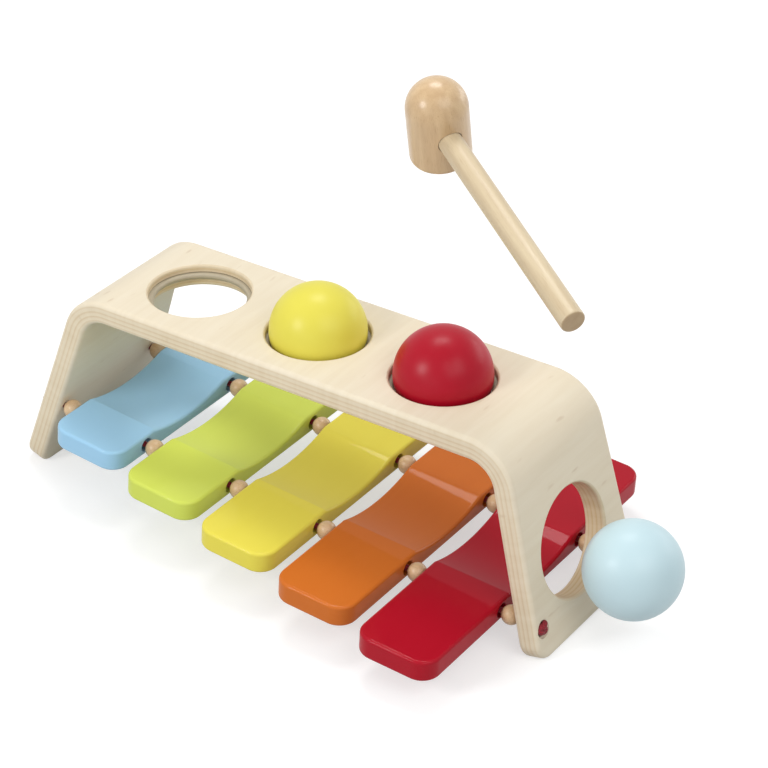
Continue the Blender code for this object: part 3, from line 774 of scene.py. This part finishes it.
def bare_wood(name, pale, dark, along, roughness, coat, flecks=0.5, shift_by_bead=False, end_from=None):
    """Sanded wood: slow rings of two tones and short dark flecks along an axis, and a darker cut end."""
    material, tree, shader = new_material(name)
    across = [ACROSS_GRAIN if axis != along else ALONG_GRAIN for axis in range(3)]
    place = stored(tree, "wood_place")
    if shift_by_bead:
        place = add_node(tree, "ShaderNodeVectorMath", {0: place, 1: stored(tree, "bead_shift")},
                         operation="ADD").outputs[0]
    rings = noise(tree, place, [v * RING_SCALE for v in across], 4.0, 0.25)
    pores = noise(tree, place, [v * PORE_SCALE for v in across], 2.0)
    darker = [(1 - DARK_SHARE) * p + DARK_SHARE * d for p, d in zip(pale, dark)]
    tone = blend(tree, spread(tree, rings, 0.3, 0.7), pale, darker)
    shown = blend(tree, spread(tree, pores, 0.56, 0.72, high=flecks), tone, dark)
    if end_from:
        axis = add_node(tree, "ShaderNodeSeparateXYZ", {0: place}).outputs[along]
        shown = blend(tree, spread(tree, axis, end_from, end_from + 0.0004, high=0.6), shown, dark)
    feed(tree, shader, {
        "Base Color": shown, "Normal": relief(tree, pores, 0.06, 0.0004), "Roughness": roughness,
        "Specular IOR Level": WOOD_SPECULAR, "Coat Weight": coat, "Coat Roughness": 0.24})
    return material


bead_beech = bare_wood("bead beech", (0.690, 0.490, 0.290), (0.360, 0.200, 0.090), along=0,
                       roughness=0.45, coat=0.45, shift_by_bead=True)


# %% Tree of the bead rows
BEAD_SEED, BEAD_SHIFT = 7, 0.2


def bead_tree():
    """One bead in, a row of beads out: lowered by the cords' dip, laid along them and loosely turned."""
    tree, given = new_tree("bead row", {"Start": "Vector", "End": "Vector", "Dip": "Float", "Beads": "Int",
                                        "Seed": "Int", "Wood": "Material"})
    line = add_node(tree, "GeometryNodeMeshLine", {
        "Count": given["Beads"], "Start Location": given["Start"], "Offset": given["End"]}, mode="END_POINTS")
    index = add_node(tree, "GeometryNodeInputIndex").outputs[0]
    share = math_node(tree, "DIVIDE", index, difference(tree, given["Beads"], 1.0))
    rest = difference(tree, 1.0, share)
    fall = product(tree, given["Dip"], -4.0)
    bow = add_node(tree, "ShaderNodeCombineXYZ", {"Z": product(tree, product(tree, share, rest), fall)})
    lowered = add_node(tree, "GeometryNodeSetPosition", {
        "Geometry": line.outputs[0], "Offset": bow.outputs[0]})
    chord = add_node(tree, "ShaderNodeVectorMath", {
        0: given["End"], 1: given["Start"]}, operation="SUBTRACT")
    span = add_node(tree, "ShaderNodeSeparateXYZ", {0: chord.outputs[0]}).outputs
    lean = product(tree, difference(tree, rest, share), fall)
    slope = math_node(tree, "DIVIDE", math_node(tree, "ADD", span["Z"], lean), span["X"])
    tilt = product(tree, math_node(tree, "ARCTANGENT", slope), -1.0)
    spin = add_node(tree, "FunctionNodeRandomValue", {
        "Max": math.tau, "Seed": given["Seed"]}, data_type="FLOAT")
    loose = add_node(tree, "FunctionNodeRandomValue", {
        0: (0, 0, 0), 1: (BEAD_SHIFT,) * 3, "Seed": given["Seed"]}, data_type="FLOAT_VECTOR")
    turn = add_node(tree, "ShaderNodeCombineXYZ", {"X": spin.outputs[1], "Y": tilt})
    strung = add_node(tree, "GeometryNodeInstanceOnPoints", {
        "Points": lowered.outputs[0], "Instance": given["Geometry"], "Rotation": turn.outputs[0]})
    marked = add_node(tree, "GeometryNodeStoreNamedAttribute", {
        "Geometry": strung.outputs[0], "Name": "bead_shift", "Value": loose.outputs[0]},
        data_type="FLOAT_VECTOR", domain="INSTANCE")
    return end_tree(tree, marked.outputs[0], given["Wood"])


# %% Two rows of beads
BEAD_SEGMENTS, BEAD_STEPS = 36, 20


def bead_mesh():
    """Bead with a bore along X."""
    opening = math.asin((CORD_RADIUS + CORD_CLEARANCE) / BEAD_RADIUS)
    section = [(y, x) for x, y in arc(BEAD_RADIUS, math.pi - opening, opening, BEAD_STEPS)]
    bead = turned("bead", section, BEAD_SEGMENTS, closed=True)
    bead.transform(Matrix.Rotation(math.pi / 2, 4, "Y"))
    return remember_place(bead)


bead_row = bead_tree()
for number, (row, y) in enumerate(cord_rows()):
    sizes = {"Start": (ROW_START, y, ROW_LEFT_HEIGHT), "End": (ROW_END, y, ROW_RIGHT_HEIGHT), "Dip": ROW_DIP,
             "Beads": BEADS_ON_CORD, "Seed": BEAD_SEED + number, "Wood": bead_beech}
    beads = smoothed(made_by_nodes(f"{row}_beads", bead_mesh(), bead_row, sizes), sharp=50)
    nodes = [f"{row}_bead_{step + 1}" for step in range(BEADS_ON_CORD)]
    show(f"{row}_beads", beads, "bench", nodes)

# %% [markdown]
# The two red cords are elastic, with a braided cover. They stay as the CAD model has them, because their
# path is the measured one. Each end is an overhand knot pulled into its sunk hole: the cord's path is
# written as a curve, and a tree sweeps the cord's round section along it.

# %% Red braid
THREAD_TURN, WAVE_SCALE = 0.7, 480.0


def braid(name, colour, shade):
    """Braided cover: fine crossing threads with a soft sheen, and painted shade in the gaps between them."""
    material, tree, shader = new_material(name)
    spot = add_node(tree, "ShaderNodeTexCoord").outputs["Object"]
    threads = []
    for turn in (THREAD_TURN, -THREAD_TURN):
        slanted = add_node(tree, "ShaderNodeMapping", {"Vector": spot, "Rotation": (0.4, turn, 0.3)})
        threads.append(add_node(tree, "ShaderNodeTexWave", {
            "Vector": slanted.outputs[0], "Scale": WAVE_SCALE, "Distortion": 1.0}).outputs["Fac"])
    crossing = product(tree, *threads)
    # The darker tone in the gaps between the threads is painted shade.
    feed(tree, shader, {
        "Base Color": blend(tree, crossing, shade, colour), "Normal": relief(tree, crossing, 0.3, 0.0003),
        "Roughness": 0.8, "Sheen Weight": 0.12})
    return material


cord_braid = braid("red braid", (0.42, 0.010, 0.026), (0.17, 0.004, 0.011))
for row, _ in cord_rows():
    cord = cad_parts[f"{row}_cord"]
    for slot in cord.material_slots:
        slot.material = cord_braid


# %% Tree that sweeps the cord
SWEEP_STEPS, SECTION_SEGMENTS = 120, 14


def sweep_tree():
    """Curve in, smooth cord out."""
    tree, given = new_tree("swept cord", {"Radius": "Float", "Cover": "Material"})
    smooth = add_node(tree, "GeometryNodeResampleCurve", {"Curve": given["Geometry"], "Count": SWEEP_STEPS})
    ring = add_node(tree, "GeometryNodeCurvePrimitiveCircle", {
        "Resolution": SECTION_SEGMENTS, "Radius": given["Radius"]})
    swept = add_node(tree, "GeometryNodeCurveToMesh", {
        "Curve": smooth.outputs[0], "Profile Curve": ring.outputs[0], "Fill Caps": True})
    round_look = add_node(tree, "GeometryNodeSetShadeSmooth", {0: swept.outputs[0]})
    return end_tree(tree, round_look.outputs[0], given["Cover"])


# %% Four knots
KNOT_CORD_RADIUS = 0.00165
KNOT_LIFT = {"left": 0.0024, "right": 0.0034}
KNOT_TURN = math.radians(110)
KNOT_SCALE, KNOT_WAVE, KNOT_MIDDLE = 0.00086, 0.0005, 0.0011
KNOT_START, KNOT_TAIL = (0, 0, -0.0022), (-0.0004, 0.0006, 0.0018)
KNOT_OPENING, KNOT_STEPS = 0.35, 44


def knot_path():
    """Overhand knot about Z: in from below, three crossings, and a short tail above."""
    points = [KNOT_START]
    for step in range(KNOT_STEPS + 1):
        t = KNOT_OPENING + (math.tau - 2 * KNOT_OPENING) * step / KNOT_STEPS
        x = math.sin(t) + 2 * math.sin(2 * t)
        y = math.cos(t) - 2 * math.cos(2 * t)
        points.append((x * KNOT_SCALE, y * KNOT_SCALE, -math.sin(3 * t) * KNOT_WAVE + KNOT_MIDDLE))
    return [*points, KNOT_TAIL]


swept_cord = sweep_tree()
for row, y in cord_rows():
    for label, x, outward in cord_exits():
        along = Vector((math.sin(outward), 0, math.cos(outward)))
        spot = Vector((x, y, row_height(x))) - along * (COUNTERBORE_DEPTH - GAP - KNOT_LIFT[label])
        path = bpy.data.curves.new("knot path", "CURVE")
        path.dimensions = "3D"
        spline = path.splines.new("POLY")
        points = knot_path()
        spline.points.add(len(points) - 1)
        for item, point in zip(spline.points, points):
            item.co = (*point, 1)
        knot = made_by_nodes(f"{row}_{label}_overhand_knot", path, swept_cord,
                             {"Radius": KNOT_CORD_RADIUS, "Cover": cord_braid})
        lean = Matrix.Rotation(outward, 4, "Y") @ Matrix.Rotation(KNOT_TURN, 4, "Z")
        show(knot.name, knot, "bench", [f"{row}_{label}_knot"], Matrix.Translation(spot) @ lean)

# %% [markdown]
# The mallet has two turned pieces: a beech head with a domed top, and a birch dowel glued into a socket in
# its side. Both are drawn about the point where their axes cross, with the head along Z and the handle
# along X, and then carried to their place over the red ball, leaning as in the photograph.

# %% Mallet
MALLET_LEFT_OF_BALL, MALLET_LIFT = 0.0043, 0.12995
MALLET_LEAN = Euler((math.radians(10.6), math.radians(12.7), math.radians(-31.9)))
MALLET_SPOT = Vector((HOLE_PITCH - MALLET_LEFT_OF_BALL, 0, BENCH_HEIGHT + MALLET_LIFT))
MALLET_PLACE = Matrix.Translation(MALLET_SPOT) @ MALLET_LEAN.to_matrix().to_4x4()
HEAD_RADIUS, HEAD_BARREL_LENGTH, HEAD_HANDLE_TO_DOME, HEAD_ROUNDING = 0.0143, 0.0282, 0.0101, 0.0022
HANDLE_RADIUS, HANDLE_START, HANDLE_END, HANDLE_ROUNDING = 0.0056, 0.002, 0.1371, 0.0009
SOCKET_CUT_END = 0.03
HEAD_SEGMENTS, HANDLE_SEGMENTS = 96, 64
RIM_STEPS, DOME_STEPS = 8, 26


def head_mesh():
    """Domed barrel about Z with a socket for the handle in its side."""
    bottom = HEAD_HANDLE_TO_DOME - HEAD_BARREL_LENGTH
    rim = [(HEAD_RADIUS - HEAD_ROUNDING + x, bottom + HEAD_ROUNDING + z)
           for x, z in arc(HEAD_ROUNDING, -math.pi / 2, 0, RIM_STEPS)]
    dome = [(x, HEAD_HANDLE_TO_DOME + z) for x, z in arc(HEAD_RADIUS, 0, math.pi / 2, DOME_STEPS)]
    outline = [(0, bottom), *rim, *dome[:-1], (0, HEAD_HANDLE_TO_DOME + HEAD_RADIUS)]
    reach, start = HANDLE_RADIUS + GAP, HANDLE_START - GAP
    socket = turned("socket", [(0, start), (reach, start), (reach, SOCKET_CUT_END), (0, SOCKET_CUT_END)],
                    HANDLE_SEGMENTS)
    return drilled("mallet head", turned("mallet head", outline, HEAD_SEGMENTS),
                   [(socket, Matrix.Rotation(math.pi / 2, 4, "Y"))])


def handle_mesh():
    """Dowel along X with softened ends."""
    edge = HANDLE_RADIUS - HANDLE_ROUNDING
    turn = arc(HANDLE_ROUNDING, 0, math.pi / 2, ROUNDING_STEPS)
    far = [(edge + x, HANDLE_END - HANDLE_ROUNDING + z) for x, z in turn]
    near = [(edge + x, HANDLE_START + HANDLE_ROUNDING - z) for x, z in reversed(turn)]
    dowel = turned("mallet handle", [(0, HANDLE_START), *near, *far, (0, HANDLE_END)], HANDLE_SEGMENTS)
    dowel.transform(Matrix.Rotation(math.pi / 2, 4, "Y"))
    return dowel


mallet_head = show("beech_mallet_head", remember_place(head_mesh()), "mallet",
                   ["mallet_head"], MALLET_PLACE)
mallet_handle = show("birch_mallet_handle", remember_place(handle_mesh()), "mallet",
                     ["mallet_handle"], MALLET_PLACE)
for piece in (mallet_head, mallet_handle):
    even_faces(piece)


# %% [markdown]
# The plywood finish is the main one. The veneer's grain runs across the board, along the bends. The stored
# depth is cut into nine layers: every second one shows end grain, which drinks more lacquer and looks
# darker, and a slow waver keeps the stripes from looking ruled. The outer veneers are simply the first and
# the last layer, so faces and edges need no separate materials. The value stored on the bored walls brings
# in more end grain there.

# %% Birch plywood
PLY_BANDS = ((0.13, 0.0), (0.19, 0.55), (0.25, 0.10), (0.34, 0.15), (0.40, 0.75), (0.47, 0.20), (0.55, 0.10),
             (0.61, 0.80), (0.67, 0.25), (0.74, 0.10), (0.80, 0.60), (0.86, 0.05), (0.90, 0.0))
VENEER = (0.720, 0.625, 0.465), (0.775, 0.695, 0.545)
END_GRAIN = (0.560, 0.415, 0.225), (0.670, 0.530, 0.330)
FLECK = (0.42, 0.26, 0.13)
WAVER = 0.07
STRIPE_STRENGTH, BORED_WALL_STRENGTH = 0.85, 0.45


def plywood():
    """Birch plywood: veneer on the faces, stripes of end grain on the edges and bored walls."""
    material, tree, shader = new_material("birch plywood")
    place = stored(tree, "wood_place")
    depth = add_node(tree, "ShaderNodeSeparateXYZ", {0: place}).outputs["Z"]
    waver = product(tree, difference(tree, noise(tree, place, (26, 26, 1), 2.0), 0.5), WAVER)
    layer = math_node(tree, "ADD", product(tree, depth, 1 / BOARD_THICKNESS), waver)
    stripe = add_node(tree, "ShaderNodeValToRGB", {"Fac": layer})
    stripe.color_ramp.interpolation = "EASE"
    bands = stripe.color_ramp.elements
    bands.remove(bands[-1])
    bands[0].position, bands[0].color = 0.0, (0, 0, 0, 1)
    for at, strength in PLY_BANDS:
        bands.new(at).color = (strength, strength, strength, 1)
    grain = noise(tree, place, (260, 22, 40), 4.0, 0.4)
    cloud = noise(tree, place, (24, 9, 9), 2.0)
    figure = math_node(tree, "ADD", product(tree, grain, 0.6), product(tree, cloud, 0.4))
    soft = spread(tree, figure, 0.3, 0.7)
    fleck = spread(tree, noise(tree, place, (210, 55, 90), 1.0), 0.71, 0.80, high=0.28)
    veneer = blend(tree, fleck, blend(tree, soft, *VENEER), FLECK)
    bored = add_node(tree, "ShaderNodeAttribute", attribute_name="bored_wall").outputs["Fac"]
    open_grain = math_node(tree, "ADD", product(tree, stripe.outputs["Color"], STRIPE_STRENGTH),
                           product(tree, bored, BORED_WALL_STRENGTH), use_clamp=True)
    feed(tree, shader, {
        "Base Color": blend(tree, open_grain, veneer, blend(tree, soft, *END_GRAIN)),
        "Normal": relief(tree, grain, 0.05, 0.0004), "Roughness": spread(tree, grain, low=0.42, high=0.56),
        "Specular IOR Level": WOOD_SPECULAR, "Coat Weight": 0.06, "Coat Roughness": 0.35})
    return material


def wear(piece, material):
    """Gives a piece its one material."""
    piece.data.materials.clear()
    piece.data.materials.append(material)


wear(bent_board, plywood())
print("board finish:", bent_board.data.materials[0].name)


# %% [markdown]
# The other pieces take simpler finishes. The rings are pale, half matt rubber, even but for a faint mottle.
# The balls wear the bars' paint under a heavier and softer coat, so their highlight is wide. The mallet is
# bare wood with a thin finish: a browner beech head and a paler birch handle, whose cut end is darker.

# %% Rubber, paints and bare wood on their pieces
CUT_END_DEPTH = 0.0005


def rubber():
    """Pale rubber: an even tone with faint mottle."""
    material, tree, shader = new_material("pale rubber")
    mottle = noise(tree, stored(tree, "wood_place"), (400, 400, 400), 3.0)
    feed(tree, shader, {"Base Color": blend(tree, mottle, (0.37, 0.32, 0.225), (0.45, 0.39, 0.28)),
                        "Roughness": 0.55})
    return material


ring_rubber = rubber()
for ring in rings:
    wear(ring, ring_rubber)
BALL_TONES = {
    "yellow_ball": ((0.705, 0.630, 0.078), (0.745, 0.670, 0.096)),
    "red_ball": ((0.375, 0.002, 0.014), (0.415, 0.003, 0.018)),
    "light_blue_ball": ((0.520, 0.690, 0.745), (0.570, 0.730, 0.775)),
}
for ball, (name, tones) in zip(balls, BALL_TONES.items()):
    wear(ball, lacquer(f"{name} paint", *tones, roughness=0.46, coat=0.36, coat_roughness=0.32,
                       grain=(45, 45, 30), bump=0.06))
wear(mallet_head, bare_wood("head beech", (0.650, 0.465, 0.265), (0.330, 0.170, 0.065), along=2,
                            roughness=0.4, coat=0.55, flecks=0.35))
wear(mallet_handle, bare_wood("handle birch", (0.665, 0.550, 0.365), (0.330, 0.200, 0.095), along=0,
                              roughness=0.45, coat=0.2, flecks=0.2, end_from=HANDLE_END - CUT_END_DEPTH))
print("finishes:", sorted(material.name for material in bpy.data.materials if material.users))

# %% [markdown]
# The floor is a plain pale sheet that catches the soft shadow. The camera and the reflections see a white
# world around the toy, while the light that falls on it comes from a dimmer sky and five large lamps, as in
# a photo tent. The paints keep their depth because their coat is thin, not because the tent is dark.

# %% Floor and sky
FLOOR_SIZE, FLOOR_DROP = 4, 0.0002
FLOOR_GREY = (0.52, 0.52, 0.52, 1)
GLOW_START, GLOW_END = 0.3, 1.5
GLOW_NEAR, GLOW_FAR = 0.56, 0.79
WHITE = (1, 1, 1, 1)
SKY_LIGHT = 0.5


def seen_ray(tree):
    """1 for camera, glossy and transmission rays, 0 for the light that falls on things."""
    rays = add_node(tree, "ShaderNodeLightPath").outputs
    mirrored = math_node(tree, "MAXIMUM", rays["Is Glossy Ray"], rays["Is Transmission Ray"])
    return math_node(tree, "MAXIMUM", rays["Is Camera Ray"], mirrored)


sheet = bmesh.new()
bmesh.ops.create_grid(sheet, x_segments=8, y_segments=8, size=FLOOR_SIZE)
floor_mesh = bpy.data.meshes.new("paper floor")
sheet.to_mesh(floor_mesh)
sheet.free()
floor = added("paper_floor", floor_mesh)
floor.location.z = -FLOOR_DROP
paper, tree, shader = new_material("white paper")
feed(tree, shader, {"Base Color": FLOOR_GREY, "Roughness": 0.9, "Specular IOR Level": 0.0})
spot = add_node(tree, "ShaderNodeTexCoord").outputs["Object"]
away = add_node(tree, "ShaderNodeVectorMath", {0: spot}, operation="LENGTH").outputs["Value"]
lift = product(tree, seen_ray(tree), spread(tree, away, GLOW_START, GLOW_END, GLOW_NEAR, GLOW_FAR))
glow = add_node(tree, "ShaderNodeEmission", {"Color": WHITE, "Strength": lift})
lifted = add_node(tree, "ShaderNodeAddShader", {0: shader.outputs[0], 1: glow.outputs[0]})
feed(tree, tree.nodes["Material Output"], {"Surface": lifted.outputs[0]})
floor_mesh.materials.append(paper)

world = bpy.data.worlds.new("photo tent")
bpy.context.scene.world = world
world.use_nodes = True
sky = world.node_tree
tent_light = math_node(sky, "ADD", product(sky, seen_ray(sky), 1 - SKY_LIGHT), SKY_LIGHT)
feed(sky, sky.nodes["Background"], {"Color": WHITE, "Strength": tent_light})
print("sky light on the toy:", SKY_LIGHT)


# %% Lamps
def softbox(name, place, target, size, watts):
    """Rectangular lamp at a place, facing a target."""
    data = bpy.data.lights.new(name, "AREA")
    data.shape = "RECTANGLE"
    data.size, data.size_y = size
    data.energy = watts
    lamp = added(name, data)
    lamp.location = place
    lamp.rotation_euler = (Vector(target) - Vector(place)).to_track_quat("-Z", "Y").to_euler()
    print(f"{name}: {watts} W at {place}")


softbox("overhead softbox", (-0.18, 0.26, 1.0), (0, 0, 0.06), (0.38, 0.28), 3.2)
softbox("key softbox", (-0.40, -0.95, 0.70), (0, 0, 0.05), (0.35, 0.35), 5.4)
softbox("front fill", (0.15, -1.30, 0.35), (0, 0, 0.05), (1.0, 0.5), 1.0)
softbox("right fill", (0.90, -0.35, 0.95), (0.1, 0, 0.05), (0.9, 0.7), 4.7)
softbox("rear fill", (0.45, 1.10, 0.40), (0, 0, 0.05), (0.8, 0.4), 2.4)

# %% [markdown]
# The camera stands as in the photograph: its place, its turn and its long lens come from fitting the holes,
# edges and beads of the photograph, measured from the toy's zero point.

# %% Camera
PICTURE_PIXELS, FOCAL_PIXELS, SENSOR_WIDTH = 768, 2678.97, 36
CAMERA_PLACE = Vector((0.6548, -0.8998, 0.7661))
camera_data = bpy.data.cameras.new("camera")
camera_data.sensor_width = SENSOR_WIDTH
camera_data.lens = FOCAL_PIXELS / PICTURE_PIXELS * SENSOR_WIDTH
camera = added("camera", camera_data)
forward = Vector((-0.4807, 0.7017, -0.5259)).normalized()
upward = Vector((-0.2964, 0.4344, 0.8505))
upward = (upward - forward * upward.dot(forward)).normalized()
turned_to = Matrix((forward.cross(upward), upward, -forward)).transposed().to_4x4()
camera.matrix_world = Matrix.Translation(CAMERA_PLACE + zero) @ turned_to
bpy.context.scene.camera = camera
bpy.context.scene.view_settings.view_transform = "Standard"
print("lens:", round(camera_data.lens, 2), "mm")

# %% Print the CAD box
print("CAD box:", [[round(v, 4) for v in corner] for corner in cad_box])
